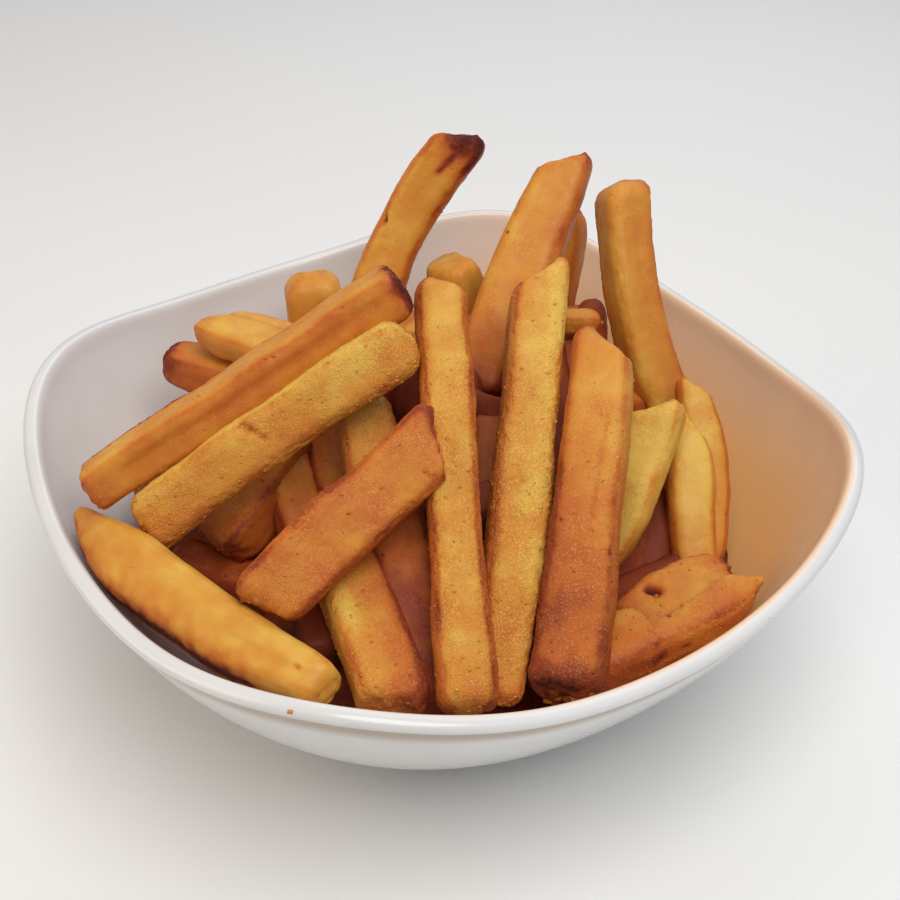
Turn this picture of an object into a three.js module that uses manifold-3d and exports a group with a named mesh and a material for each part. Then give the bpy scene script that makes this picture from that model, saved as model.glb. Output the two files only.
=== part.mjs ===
// A side portion of thick-cut fries in a white wavy-rimmed square bowl.
// Millimetres, +Z up. The origin is under the middle of the bowl, on the surface it stands on,
// and the bowl's flat sides are square to X and Y.
import * as THREE from 'three';
import { mergeVertices } from 'three/addons/utils/BufferGeometryUtils.js';
import Module from 'manifold-3d';

// ---- driving dimensions ----
const rimRadius = 75; // inner edge of the rim, averaged round the bowl
const rimHeight = 50; // middle of each side, where the rim dips
const cornerReach = 0.038; // share by which corners reach out past the average and sides fall short
const cornerSharpness = 0.003;
const cornerRise = 6.9; // how far the rim climbs from the middle of a side to a corner
const dipWidening = 0.6; // flattens the dips so that the corners come up more sharply
const lipWidth = 3.4;
const lipDepth = 2.2; // height of the rolled lip's outer face
const lipOverhang = 1.2; // lip past the wall below it
const footRadius = 35.5;
const footHeight = 2.5;
const footRecess = 1.6;
const floorRadius = 30; // flat floor inside
const floorHeight = 5; // top of that floor
const wallRoundness = 1.3; // 1 is a straight cone, 2 a quarter ellipse
const segments = 56; // round the bowl

const contentsGap = 0.4; // between the bowl's inside and the fries' bare core
const coreEdgeHeight = 26; // where the core leaves the bowl's wall
const coreTopHeight = 56;

// ---- the bowl's form ----
const wallShare = (depth) => (1 - depth ** wallRoundness) ** (1 / wallRoundness);

// Radius and height on a wall that runs from a flat bottom up to the rim; depth is 0 at the rim, 1 below.
function wallPoint(depth, top, bottom) {
  const share = wallShare(depth);
  return new THREE.Vector2(
    bottom.x + (top.x - bottom.x) * share,
    top.y + (bottom.y - top.y) * depth,
  );
}

function wallPoints(top, bottom, steps) {
  const points = [];
  for (let i = 0; i <= steps; i++) points.push(wallPoint(i / steps, top, bottom));
  return points;
}

// Turns a round, level solid into the bowl's wavy square: the form fades out towards the foot.
function makeWavySquare(geometry) {
  const place = geometry.attributes.position;
  for (let i = 0; i < place.count; i++) {
    const x = place.getX(i);
    const y = place.getY(i);
    const z = place.getZ(i);
    const fromCorner = Math.atan2(y, x) - Math.PI / 4;
    const four = Math.cos(4 * fromCorner);
    const eight = Math.cos(8 * fromCorner);
    const radius = Math.hypot(x, y);
    const outward = Math.max(0, (radius - floorRadius) / (rimRadius - floorRadius));
    const upward = Math.max(0, (z - floorHeight) / (rimHeight - floorHeight));
    const reach = rimRadius * (cornerReach * four + cornerSharpness * eight) * Math.min(1, outward);
    const rise = (cornerRise / 2) * (1 + four) - dipWidening * (1 - eight);
    const stretch = radius > 0 ? (radius + reach) / radius : 1;
    place.setXYZ(i, x * stretch, y * stretch, z + rise * Math.min(1.2, upward));
  }
  return geometry;
}

// A closed profile of (radius, height) points, from the axis back to the axis, turned about Z.
function turned(profile) {
  return makeWavySquare(new THREE.LatheGeometry(profile, segments).rotateX(Math.PI / 2));
}

function bowlShape() {
  const rim = new THREE.Vector2(rimRadius, rimHeight);
  const underLip = new THREE.Vector2(rimRadius + lipWidth - lipOverhang, rimHeight - lipDepth);
  const foot = new THREE.Vector2(footRadius, footHeight);
  const floor = new THREE.Vector2(floorRadius, floorHeight);
  const outside = wallPoints(underLip, foot, 10).reverse();
  const inside = wallPoints(new THREE.Vector2(rim.x, rim.y - 0.8), floor, 10);
  return turned([
    new THREE.Vector2(0, footRecess),
    new THREE.Vector2(footRadius - 4, footRecess),
    new THREE.Vector2(footRadius - 3, 0),
    new THREE.Vector2(footRadius - 0.5, 0),
    ...outside,
    new THREE.Vector2(rim.x + lipWidth - 0.3, rim.y - lipDepth + 0.2),
    new THREE.Vector2(rim.x + lipWidth, rim.y - lipDepth + 0.7),
    new THREE.Vector2(rim.x + lipWidth, rim.y - 0.9),
    new THREE.Vector2(rim.x + lipWidth - 0.9, rim.y),
    new THREE.Vector2(rim.x + 0.8, rim.y),
    ...inside,
    new THREE.Vector2(0, floorHeight),
  ]);
}

// The bare core: it lies in the bowl with a hair's gap, and its top is a low mound that the fries hide.
function coreShape() {
  const edgeDepth = (rimHeight - coreEdgeHeight) / (rimHeight - floorHeight);
  const rim = new THREE.Vector2(rimRadius - contentsGap, rimHeight);
  const floor = new THREE.Vector2(floorRadius - contentsGap, floorHeight + contentsGap);
  const profile = [new THREE.Vector2(0, floor.y)];
  for (let i = 5; i >= 0; i--) {
    const depth = edgeDepth + (1 - edgeDepth) * (i / 5);
    profile.push(wallPoint(depth, rim, floor));
  }
  const edge = profile[profile.length - 1];
  for (let i = 4; i >= 0; i--) {
    const out = i / 5;
    const mound = Math.cos((out * Math.PI) / 2);
    profile.push(new THREE.Vector2(edge.x * out, edge.y + (coreTopHeight - edge.y) * mound));
  }
  return turned(profile);
}

// ---- one fry ----
// A cut bar from foot to tip, wide by thick, rolled about its length in degrees. bow is how far its middle
// bends to its side and upward, ends the size of its two ends, slant how far each end is cut askew.
const ringShares = [0, 0.035, 0.27, 0.5, 0.73, 0.965, 1];
const endRing = 0.72;
const squareCorner = 1.3; // pulls the eight-sided ring out to a bar with flat faces
const taperLength = 0.4; // share of the length that an end narrows over
const slantLength = 8; // how far a slanted cut reaches along the fry

const between = (from, to, share) => from + (to - from) * share;
const easedOut = (share) => 1 - (1 - Math.min(1, share)) ** 2;

function fry(foot, tip, wide, thick, { roll = 0, bow = [0, 0], ends = [1, 1], slant = [0, 0] } = {}) {
  const rings = ringShares.length - 1;
  const shape = new THREE.CylinderGeometry(1, 1, 1, 8, rings, false, Math.PI / 8);
  const start = new THREE.Vector3(...foot);
  const run = new THREE.Vector3(...tip).sub(start);
  const length = run.length();
  const along = run.clone().normalize();
  const level = new THREE.Vector3(0, 0, 1);
  const sideways = along.clone().cross(level).normalize();
  const upward = sideways.clone().cross(along);
  const turn = (roll * Math.PI) / 180;
  const across = sideways.clone().multiplyScalar(Math.cos(turn)).addScaledVector(upward, Math.sin(turn));
  const over = upward.clone().multiplyScalar(Math.cos(turn)).addScaledVector(sideways, -Math.sin(turn));
  const place = shape.attributes.position;
  for (let i = 0; i < place.count; i++) {
    const ring = Math.round((place.getY(i) + 0.5) * rings);
    const share = ringShares[ring];
    const arch = 4 * share * (1 - share);
    const taper = between(ends[0], 1, easedOut(share / taperLength))
      * between(ends[1], 1, easedOut((1 - share) / taperLength));
    const size = taper * (ring === 0 || ring === rings ? endRing : 1);
    const a = THREE.MathUtils.clamp(place.getX(i) * squareCorner, -1, 1);
    const b = THREE.MathUtils.clamp(place.getZ(i) * squareCorner, -1, 1);
    const askew = a * (slant[0] * Math.max(0, 1 - (share * length) / slantLength)
      + slant[1] * Math.max(0, 1 - ((1 - share) * length) / slantLength));
    const point = start.clone()
      .addScaledVector(run, share)
      .addScaledVector(sideways, bow[0] * arch)
      .addScaledVector(upward, bow[1] * arch)
      .addScaledVector(across, (a * wide * size) / 2)
      .addScaledVector(over, (b * thick * size) / 2)
      .addScaledVector(along, askew);
    place.setXYZ(i, point.x, point.y, point.z);
  }
  return shape;
}

// ---- where the fries lie ----
// Each is [foot], [tip], wide, thick, with its foot on the bowl's wall or deeper in the heap.
const friesOnTop = [
  // standing up at the back
  fry([7, 37, 54], [32.5, 39.5, 88.5], 12.9, 9, {
    roll: 10, bow: [-3.5, 0], ends: [1, 0.94], slant: [0, 2.2],
  }),
  fry([10, 1.5, 56], [44.5, 19.5, 88.5], 12, 9, { roll: 5, ends: [0.9, 0.62], slant: [0, 4] }),
  fry([42.5, 20, 46], [49, 23.5, 76], 9.5, 8, { ends: [1, 0.7], slant: [0, -1.5] }),
  fry([49, -19.5, 38], [52.5, 11.5, 85.5], 9.8, 10, { roll: 10, bow: [-4, 0] }),
  fry([2, 49, 42], [1.5, 51.5, 60], 13, 11, { roll: 30, ends: [1, 0.85] }),
  fry([28, 30, 47], [23.5, 30, 67], 14, 9, { ends: [1, 0.8], slant: [0, -1.2] }),
  fry([37, -2, 54], [44.5, 9, 61], 7, 8, { ends: [1, 0.7] }),
  fry([32, 4.5, 63], [39.5, -0.5, 63], 4.5, 4.5),
  // leaning on the front wall, tips towards the middle
  fry([-32, -59.5, 45], [2, 1, 83], 9.4, 10, { bow: [-0.5, 1], ends: [1.18, 1.1] }),
  fry([-26.5, -60, 44], [22, -3, 81], 10.5, 9.5, {
    roll: -10, bow: [0.2, 0], ends: [0.8, 0.9], slant: [0, 2.2],
  }),
  fry([-16, -64.5, 44], [22, -23, 76], 11.9, 12, { bow: [0.4, 1], ends: [1.15, 0.92], slant: [0, -3] }),
  fry([-41.5, -52.5, 45], [-32.5, -14.5, 53], 12, 10, { slant: [-1.2, 0] }),
  fry([-33.5, -52.5, 40], [-14.5, 3.5, 60], 12, 10, { ends: [1, 0.95] }),
  // across the left of the heap
  fry([-64.5, 15.5, 55], [-6, 2, 85.5], 10.5, 9, { roll: 10, ends: [0.9, 1.1] }),
  fry([-58.5, 7, 49], [-10, -7.5, 80.5], 10.8, 9.2, { roll: 15, bow: [0, 1], ends: [1.08, 1] }),
  fry([-52.5, -26.5, 52.5], [-16.6, -25.6, 72.3], 12.7, 9.7, { ends: [0.95, 1], slant: [1.4, -3] }),
  fry([-67, 19, 48], [-50, -45, 47], 11.8, 11, { roll: 35, bow: [1.5, 0], ends: [0.3, 0.62] }),
  fry([-16, 24.5, 60], [-29, 44, 62], 10.5, 7, { ends: [1, 0.35] }),
  fry([-21, 31, 52], [-34, 48.5, 53], 10, 8, { ends: [1, 0.35] }),
  fry([-1, 30, 52], [-20.5, 48.5, 58], 7, 5, { ends: [1, 0.6] }),
  // right of the heap
  fry([11, -40, 38.5], [31.5, -28, 61], 11, 8, { ends: [0.3, 1], slant: [0, 2.6] }),
  fry([28.5, -47, 34], [41, -27.5, 52], 9.4, 8, { ends: [1, 0.8] }),
  fry([33.5, -43, 32], [46.5, -21.5, 57], 8, 8, { bow: [1.5, 0], ends: [1, 0.8], slant: [0, -1.5] }),
  fry([-9.5, -56, 39.5], [26.5, -64, 46.5], 10, 9, { ends: [1, 0.3] }),
  fry([7, -57, 42], [28, -55.9, 42.5], 8.5, 8, { bow: [0, 2.5], ends: [1, 0.5] }),
];

const friesBeneath = [
  // seen in the gaps of the top layer
  fry([-43.5, 5.5, 41], [-23, 13.5, 50], 12, 10, { roll: 10, ends: [0.9, 1] }),
  fry([-32.5, -5.5, 40], [-27, 14.5, 51], 9.5, 9),
  fry([-22, -4, 40], [-16.5, 16.5, 49], 9, 9),
  fry([-44.5, -32.5, 40], [-38.5, -18.5, 44], 9, 8),
  fry([-51, 13, 32], [-40, -9.5, 34], 10, 9),
  fry([-7, -28, 42], [7.5, -8.5, 56], 9, 9),
  fry([-6.5, -6.5, 56], [-0.5, 7, 66], 9, 9),
  fry([19.5, -46.5, 30], [32, -26, 40], 10, 9),
  // along the back of the bowl
  fry([5.5, 58, 40], [54, 30, 41], 11, 9, { bow: [2, 0] }),
  fry([-26, 51, 35], [17, 54, 36], 10, 9),
  fry([36, 42, 36], [54, 6, 34], 11, 10),
  fry([-49, 29, 34], [-12.5, 54, 42], 10, 10),
  fry([43, -25.5, 28], [56, 12.5, 36], 11, 9),
  fry([-44, 36, 39], [-8, 25, 57], 11, 10, { bow: [0, 1] }),
  fry([-12, 47, 42], [17, 18, 58], 11, 9, { roll: 12 }),
  fry([21, 48, 40], [2, 22, 57], 10, 10, { roll: -8, ends: [0.9, 1] }),
  fry([50, 30, 37], [23, 20, 56], 11, 9, { bow: [2, 0] }),
  fry([54, -6, 38], [25, -13, 56], 10, 9, { roll: 10 }),
  // what the top layer lies on
  fry([-24, -15.5, 48], [19.5, -36.5, 52], 11, 10),
  fry([-12.5, 25, 58], [34.5, -2, 54], 11, 10),
  fry([-20, -48, 35], [28, -46.5, 34], 11, 10),
  fry([-51.5, 24, 42], [-2, 15.5, 66], 11, 10),
  fry([-26.5, -37.5, 42], [17, 15, 60], 11, 10),
  fry([-3, -52.5, 40], [30, 9, 60], 11, 10),
  fry([3.5, 31, 54], [48.5, 9, 52], 11, 10),
  fry([44.5, 2, 46], [31, -37, 34], 10, 9),
];

// ---- joining ----
const manifold = await Module();
manifold.setup();

// A geometry with its shared corners merged and its empty triangles left out.
function closed(geometry) {
  const bare = geometry.clone();
  bare.deleteAttribute('normal');
  bare.deleteAttribute('uv');
  const merged = mergeVertices(bare, 1e-3);
  const corners = merged.index.array;
  const kept = [];
  for (let i = 0; i < corners.length; i += 3) {
    const [a, b, c] = [corners[i], corners[i + 1], corners[i + 2]];
    if (a !== b && b !== c && c !== a) kept.push(a, b, c);
  }
  merged.setIndex(kept);
  return merged;
}

function solid(geometry) {
  const merged = closed(geometry);
  return new manifold.Manifold(new manifold.Mesh({
    numProp: 3,
    vertProperties: new Float32Array(merged.attributes.position.array),
    triVerts: new Uint32Array(merged.index.array),
  }));
}

// All pieces as one body: hollows sealed inside it are filled and loose scraps dropped.
function fused(geometries) {
  let whole = solid(geometries[0]);
  for (const geometry of geometries.slice(1)) whole = whole.add(solid(geometry));
  const bodies = whole.decompose().sort((a, b) => b.volume() - a.volume());
  const mesh = bodies[0].getMesh();
  const geometry = new THREE.BufferGeometry();
  geometry.setAttribute('position', new THREE.BufferAttribute(new Float32Array(mesh.vertProperties), 3));
  geometry.setIndex(new THREE.BufferAttribute(new Uint32Array(mesh.triVerts), 1));
  return geometry;
}

// ---- the portion ----
const glaze = new THREE.MeshStandardMaterial({ color: 0xe2e1de, roughness: 0.18, metalness: 0 });
const friedPotato = new THREE.MeshStandardMaterial({ color: 0xcc8a33, roughness: 0.5, metalness: 0 });

const bowl = new THREE.Mesh(closed(bowlShape()), glaze);
bowl.name = 'bowl';

const fries = new THREE.Mesh(fused([coreShape(), ...friesOnTop, ...friesBeneath]), friedPotato);
fries.name = 'fries';

const portion = new THREE.Group();
portion.add(bowl, fries);

export default portion;
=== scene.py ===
import math
import random

import bmesh
import bpy
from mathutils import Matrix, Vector, noise


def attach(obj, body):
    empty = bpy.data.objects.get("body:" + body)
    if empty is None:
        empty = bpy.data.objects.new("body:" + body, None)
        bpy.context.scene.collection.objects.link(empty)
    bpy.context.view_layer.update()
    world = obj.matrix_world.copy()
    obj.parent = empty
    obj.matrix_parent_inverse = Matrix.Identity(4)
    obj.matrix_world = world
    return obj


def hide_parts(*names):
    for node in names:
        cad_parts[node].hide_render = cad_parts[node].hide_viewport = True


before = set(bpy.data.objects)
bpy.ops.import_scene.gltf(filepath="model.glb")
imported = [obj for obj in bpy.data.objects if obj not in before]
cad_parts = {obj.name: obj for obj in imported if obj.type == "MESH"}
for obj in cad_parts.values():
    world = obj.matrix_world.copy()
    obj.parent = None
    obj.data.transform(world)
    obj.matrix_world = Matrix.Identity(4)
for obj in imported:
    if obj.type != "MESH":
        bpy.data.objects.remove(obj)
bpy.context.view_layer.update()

mm = 0.001
scene = bpy.context.scene


# camera and light

cameraView = dict(
    place=(-130.1, -200.4, 231.4),
    aim=(0, 0, 50),
    lens=61.08,
    sensor=36,
    nearest=0.01,
    shift=(0.0167, -0.0156),
)

lamps = {
    "window": dict(place=(-45, -230, 560), aim=(0, 0, 40), size=460, watts=2.25, tint=(1.0, 0.985, 0.96)),
    "backSky": dict(place=(274, 239, 450), aim=(0, 0, 50), size=500, watts=0.8, tint=(0.95, 0.97, 1.0)),
    "warmCard": dict(place=(-405, 203, 300), aim=(0, 0, 50), size=360, watts=0.6, tint=(1.0, 0.74, 0.50)),
}

surround = dict(colour=(0.93, 0.95, 1.0), strength=0.32)


def point(values):
    return Vector(values) * mm


def aimAt(item, target):
    item.rotation_euler = (point(target) - item.location).to_track_quat("-Z", "Y").to_euler()


def placeCamera():
    data = bpy.data.cameras.new("plateCamera")
    data.lens = cameraView["lens"]
    data.sensor_width = cameraView["sensor"]
    data.clip_start = cameraView["nearest"]
    data.shift_x, data.shift_y = cameraView["shift"]
    item = bpy.data.objects.new("plateCamera", data)
    scene.collection.objects.link(item)
    item.location = point(cameraView["place"])
    aimAt(item, cameraView["aim"])
    scene.camera = item


def placeLamps():
    for name, lamp in lamps.items():
        data = bpy.data.lights.new(name, "AREA")
        data.shape = "DISK"
        data.size = lamp["size"] * mm
        data.energy = lamp["watts"]
        data.color = lamp["tint"]
        item = bpy.data.objects.new(name, data)
        scene.collection.objects.link(item)
        item.location = point(lamp["place"])
        aimAt(item, lamp["aim"])
    world = bpy.data.worlds.new("softRoom")
    scene.world = world
    world.use_nodes = True
    sky = world.node_tree.nodes["Background"]
    sky.inputs["Color"].default_value = (*surround["colour"], 1)
    sky.inputs["Strength"].default_value = surround["strength"]
    scene.view_settings.view_transform = "Standard"


placeCamera()
placeLamps()
print("camera and light placed")


# small helpers

tiny = 1e-6


def ease(low, high, value):  # a soft step from 0 at low to 1 at high
    share = min(1, max(0, (value - low) / (high - low)))
    return share * share * (3 - 2 * share)


def between(pair, share):  # share 0 gives the first of the pair, 1 the second
    return pair[0] + (pair[1] - pair[0]) * share


def stepped(values, share, end=0.9999):  # reads values that are spaced evenly between 0 and 1
    place = min(end, max(0, share)) * (len(values) - 1)
    first = int(place)
    return between(values[first : first + 2], place - first)


def wander(spot, amount, size, shift=(0, 0, 0)):  # smooth noise with lumps of this size; shift picks another
    return amount * noise.noise(spot / size + Vector(shift))


def linear(red, green, blue):  # a screen colour, 0 to 255, as Blender's linear colour
    def one(value):
        value /= 255
        return value / 12.92 if value <= 0.04045 else ((value + 0.055) / 1.055) ** 2.4

    return one(red), one(green), one(blue), 1


def asObject(bm, name, material):
    mesh = bpy.data.meshes.new(name)
    bm.to_mesh(mesh)
    bm.free()
    mesh.shade_smooth()
    mesh.materials.append(material)
    item = bpy.data.objects.new(name, mesh)
    scene.collection.objects.link(item)
    return item


def joined(items, name):
    with bpy.context.temp_override(active_object=items[0], selected_editable_objects=items):
        bpy.ops.object.join()
    items[0].name = items[0].data.name = name
    return items[0]


class NodeBench:
    # places nodes in one tree and links their sockets by name
    perRow, across, down = 9, 190, 260

    def __init__(self, tree):
        self.tree = tree
        self.column = 0

    def add(self, kind, label=None, **values):
        node = self.tree.nodes.new(kind)
        self.column += 1
        node.location = (self.column % self.perRow * self.across, -(self.column // self.perRow) * self.down)
        if label:
            node.label = label
        for key, value in values.items():
            setattr(node, key, value)
        return node

    def feed(self, node, **sockets):
        for key, value in sockets.items():
            socket = node.inputs[int(key[1:]) if key[1:].isdigit() else key.replace("_", " ")]
            if isinstance(value, bpy.types.NodeSocket):
                self.tree.links.new(value, socket)
            else:
                socket.default_value = value
        return node

    def noise(self, vector, scale, detail=2.0, roughness=0.5, label=None):
        node = self.add("ShaderNodeTexNoise", label)
        self.feed(node, Vector=vector, Scale=scale, Detail=detail, Roughness=roughness)
        return node.outputs["Fac"]

    def ramp(self, value, low, high, to=(0, 1)):  # a soft step from low to high
        node = self.add("ShaderNodeMapRange", interpolation_type="SMOOTHSTEP")
        self.feed(node, Value=value)
        for number, amount in zip((1, 2, 3, 4), (low, high, *to)):
            node.inputs[number].default_value = amount
        return node.outputs[0]

    def math(self, operation, first, second=0.5, clamp=False):
        node = self.add("ShaderNodeMath", operation=operation, use_clamp=clamp)
        self.feed(node, i0=first, i1=second)
        return node.outputs[0]

    def mix(self, share, first, second, blend="MIX"):
        node = self.add("ShaderNodeMix", data_type="RGBA", blend_type=blend)
        self.feed(node, i0=share, i6=first, i7=second)
        return node.outputs[2]


# glaze

glazeLook = dict(
    colour=linear(224, 224, 223),
    thin=linear(217, 215, 212),  # where the glaze runs thin
    coveShade=linear(190, 174, 158),  # painted shade in the hollow under the lip
    bounceTint=linear(240, 186, 118),  # painted warm bounce light from the fries, on the inner wall beside the heap
    speck=linear(150, 140, 128),
    cloudScale=26,
    thinFrom=(0.45, 0.75),
    roughFrom=(0.3, 0.7),
    roughness=(0.12, 0.22),
    rippleScale=160,
    rippleStrength=0.25,
    rippleHeight=0.00006,
    speckScale=900,
    speckFrom=(0.80, 0.84),
    speckAmount=0.5,
    coat=0.3,
    coatRoughness=0.08,
    refraction=1.5,
)


def makeGlaze():
    look = glazeLook
    material = bpy.data.materials.new("whiteGlaze")
    material.use_nodes = True
    tree = material.node_tree
    bench = NodeBench(tree)
    skin = tree.nodes["Principled BSDF"]
    place = bench.add("ShaderNodeTexCoord").outputs["Object"]
    paintedLight = bench.add("ShaderNodeAttribute", attribute_name="paintedGlazeLight")
    mark = bench.add("ShaderNodeSeparateColor")
    bench.feed(mark, Color=paintedLight.outputs["Color"])
    cloud = bench.noise(place, look["cloudScale"], 3, label="uneven glaze")
    ripple = bench.noise(place, look["rippleScale"], 2, label="orange peel")
    specks = bench.ramp(bench.noise(place, look["speckScale"], 1, label="specks"), *look["speckFrom"])
    colour = bench.mix(bench.ramp(cloud, *look["thinFrom"]), look["colour"], look["thin"])
    # painted warm bounce light beside the heap, then painted shade in the hollow under the lip
    colour = bench.mix(mark.outputs[0], colour, look["bounceTint"])
    colour = bench.mix(mark.outputs[1], colour, look["coveShade"])
    colour = bench.mix(bench.math("MULTIPLY", specks, look["speckAmount"]), colour, look["speck"])
    bump = bench.add("ShaderNodeBump")
    bench.feed(bump, Strength=look["rippleStrength"], Distance=look["rippleHeight"], Height=ripple)
    rough = bench.ramp(cloud, *look["roughFrom"], look["roughness"])
    bench.feed(skin, Base_Color=colour, Roughness=rough, Normal=bump.outputs[0])
    bench.feed(skin, Coat_Weight=look["coat"], Coat_Roughness=look["coatRoughness"], IOR=look["refraction"])
    return material


# fried potato

goldenPaints = dict(
    pale=linear(225, 185, 84),
    golden=linear(209, 141, 54),
    rust=linear(190, 101, 39),
    brown=linear(134, 50, 26),
    burnt=linear(78, 26, 15),
    # painted highlight: pale glints added on top of the colour
    spark=(0.20, 0.15, 0.06, 1),
)

# a darker, redder copy of the golden paints: painted shade for the fries deep in the heap and the core under them
shadedPaints = dict(
    pale=linear(190, 114, 58),
    golden=linear(156, 76, 44),
    rust=linear(130, 56, 32),
    brown=linear(104, 42, 26),
    burnt=linear(52, 20, 14),
    # painted highlight: pale glints added on top of the colour
    spark=(0.08, 0.04, 0.015, 1),
)

friedLook = dict(
    coarseScale=900,
    blotchScale=150,
    streakScale=520,
    streakStretch=0.10,  # along the fry
    dotScale=1500,
    blotchiness=(0.45, 0.28),  # with crust, and without
    rubbedFrom=(0.25, 0.70),
    rubbed=(0.30, 0.95),  # how much of the crispness shows
    singed=0.8,  # tone around a burn
    goldenFrom=(0.0, 0.40),
    rustFrom=(0.32, 0.75),
    brownFrom=(0.68, 1.05),
    pitsFrom=(0.52, 0.36),
    pits=0.30,
    patchesFrom=(0.36, 0.58),
    patches=(0.25, 1),
    # where the grains show painted highlights
    highlightsFrom=(0.50, 0.70),
    dotsFrom=(0.86, 0.90),
    dots=0.6,
    charFrom=(0.2, 0.7),
    char=(0.75, 1.2),
    burntFrom=(0.35, 1.0),
    grainRelief=(0.9, 0.1),  # with crust, and without
    coarseRelief=0.5,
    streakRelief=0.35,
    roughFrom=(0.3, 0.7),
    roughness=(0.34, 0.50),
    crustRoughness=0.08,
    burnRoughness=0.3,
    bumpStrength=0.8,
    innerLight=(1.0, 0.42, 0.14),
    innerReach=0.0022,
)


def makeFriedSkin():
    # colour, roughness and relief of fried potato, from a point in the fry's own space and its look
    look = friedLook
    group = bpy.data.node_groups.new("friedSkin", "ShaderNodeTree")
    amounts = ("Tone", "Crisp", "Crust", "Burn", "Grain Scale", "Streak Amount")
    paints = ("Pale", "Golden", "Rust", "Brown", "Burnt", "Spark")
    takes = [("Point", "Vector")] + [(name, "Float") for name in amounts] + [(name, "Color") for name in paints]
    gives = [("Color", "Color"), ("Roughness", "Float"), ("Height", "Float")]
    for way, sockets in (("INPUT", takes), ("OUTPUT", gives)):
        for name, kind in sockets:
            group.interface.new_socket(name=name, in_out=way, socket_type="NodeSocket" + kind)
    bench = NodeBench(group)
    given = bench.add("NodeGroupInput").outputs
    result = bench.add("NodeGroupOutput")

    def times(first, second):
        return bench.math("MULTIPLY", first, second)

    def plus(first, second):
        return bench.math("ADD", first, second)

    lengthwise = bench.add("ShaderNodeMapping", "drawn out along the fry")
    bench.feed(lengthwise, Vector=given["Point"], Scale=(1, 1, look["streakStretch"]))
    grain = bench.noise(given["Point"], given["Grain Scale"], 2, 0.6, "grains")
    coarse = bench.noise(given["Point"], look["coarseScale"], 3, 0.6, "coarse crust")
    blotch = bench.noise(given["Point"], look["blotchScale"], 3, 0.55, "blotches")
    streak = bench.noise(lengthwise.outputs[0], look["streakScale"], 4, 0.6, "streaks")
    dots = bench.noise(given["Point"], look["dotScale"], 0, 0.5, "dark dots")

    patchy = plus(times(given["Crust"], look["blotchiness"][0]), look["blotchiness"][1])
    clouds = times(bench.math("SUBTRACT", blotch), patchy)
    lines = times(bench.math("SUBTRACT", streak), given["Streak Amount"])
    rubbed = times(given["Crisp"], bench.ramp(coarse, *look["rubbedFrom"], look["rubbed"]))
    singed = plus(rubbed, times(given["Burn"], look["singed"]))
    tone = bench.math("ADD", plus(given["Tone"], clouds), plus(lines, singed), clamp=True)
    colour = bench.mix(bench.ramp(tone, *look["goldenFrom"]), given["Pale"], given["Golden"])
    colour = bench.mix(bench.ramp(tone, *look["rustFrom"]), colour, given["Rust"])
    colour = bench.mix(bench.ramp(tone, *look["brownFrom"]), colour, given["Brown"])
    pits = times(bench.ramp(grain, *look["pitsFrom"]), given["Crust"])
    colour = bench.mix(times(pits, look["pits"]), colour, given["Rust"])
    # painted highlights: pale glints added on the grains, in patches, where there is crust
    patches = bench.ramp(blotch, *look["patchesFrom"], look["patches"])
    highlights = times(bench.ramp(grain, *look["highlightsFrom"]), times(given["Crust"], patches))
    colour = bench.mix(highlights, colour, given["Spark"], "ADD")
    colour = bench.mix(times(bench.ramp(dots, *look["dotsFrom"]), look["dots"]), colour, given["Burnt"])
    charred = times(given["Burn"], bench.ramp(coarse, *look["charFrom"], look["char"]))
    colour = bench.mix(bench.ramp(charred, *look["burntFrom"]), colour, given["Burnt"])

    relief = times(grain, plus(times(given["Crust"], look["grainRelief"][0]), look["grainRelief"][1]))
    relief = plus(relief, times(coarse, look["coarseRelief"]))
    relief = plus(relief, times(streak, look["streakRelief"]))
    rough = bench.ramp(coarse, *look["roughFrom"], look["roughness"])
    rough = plus(rough, times(given["Crust"], look["crustRoughness"]))
    rough = plus(rough, times(given["Burn"], look["burnRoughness"]))
    bench.feed(result, Color=colour, Roughness=rough, Height=relief)
    return group


def makeFriedPotato(name, skin, paints, grainScale, streaks, relief, through, gloss):
    # relief is in mm, through is the light that passes under the skin
    material = bpy.data.materials.new(name)
    material.use_nodes = True
    tree = material.node_tree
    bench = NodeBench(tree)
    body = tree.nodes["Principled BSDF"]
    place = bench.add("ShaderNodeAttribute", attribute_name="fryPoint")
    look = bench.add("ShaderNodeAttribute", attribute_name="fryLook")
    parts = bench.add("ShaderNodeSeparateColor")
    bench.feed(parts, Color=look.outputs["Color"])
    group = bench.add("ShaderNodeGroup", node_tree=skin)
    bench.feed(
        group,
        Point=place.outputs["Vector"],
        Tone=parts.outputs[0],
        Crisp=parts.outputs[1],
        Crust=parts.outputs[2],
        Burn=look.outputs["Alpha"],
        Grain_Scale=grainScale,
        Streak_Amount=streaks,
        **{key.capitalize(): paint for key, paint in paints.items()},
    )
    bump = bench.add("ShaderNodeBump")
    bench.feed(bump, Strength=friedLook["bumpStrength"], Distance=relief * mm, Height=group.outputs["Height"])
    bench.feed(body, Base_Color=group.outputs["Color"], Roughness=group.outputs["Roughness"], Normal=bump.outputs[0])
    bench.feed(body, Subsurface_Weight=through, Subsurface_Radius=friedLook["innerLight"])
    bench.feed(body, Subsurface_Scale=friedLook["innerReach"], Specular_IOR_Level=gloss)
    return material


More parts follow.
